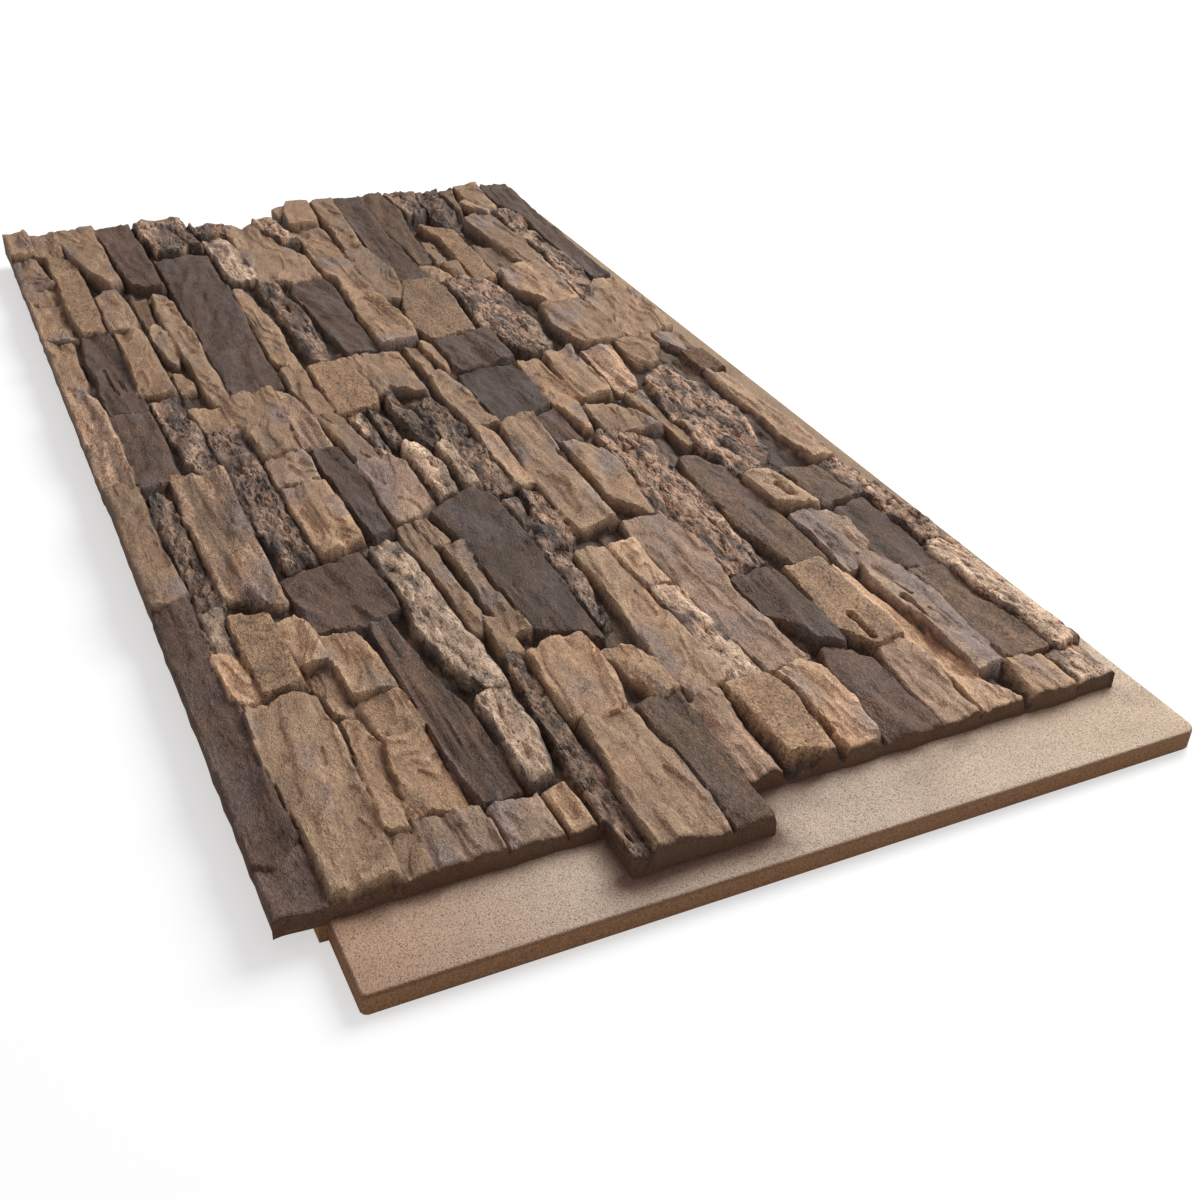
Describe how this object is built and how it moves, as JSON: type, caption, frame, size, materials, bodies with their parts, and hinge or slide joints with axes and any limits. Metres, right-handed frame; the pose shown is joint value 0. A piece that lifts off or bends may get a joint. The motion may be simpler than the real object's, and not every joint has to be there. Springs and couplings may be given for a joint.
{
  "type": "faux stone wall panel",
  "caption": "Interlocking moulded foam wall panel with a stacked ledge stone face, nailing flanges along one end and one side, lap recesses opposite, and a stepped end.",
  "frame": {"origin": "centre of the panel's footprint, on its flat back", "axes": "+X along the courses towards the end flange, +Y across the courses towards the side flange, +Z out of the stone face; hung on a wall, +Z faces the room and +Y is up"},
  "size_m": [1.092, 0.578, 0.041],
  "materials": {
    "painted_foam": "rigid moulded polyurethane foam, matte paint washed in tan, brown and grey"
  },
  "bodies": {
    "root": {"panel": "painted_foam"}
  },
  "joints": []
}
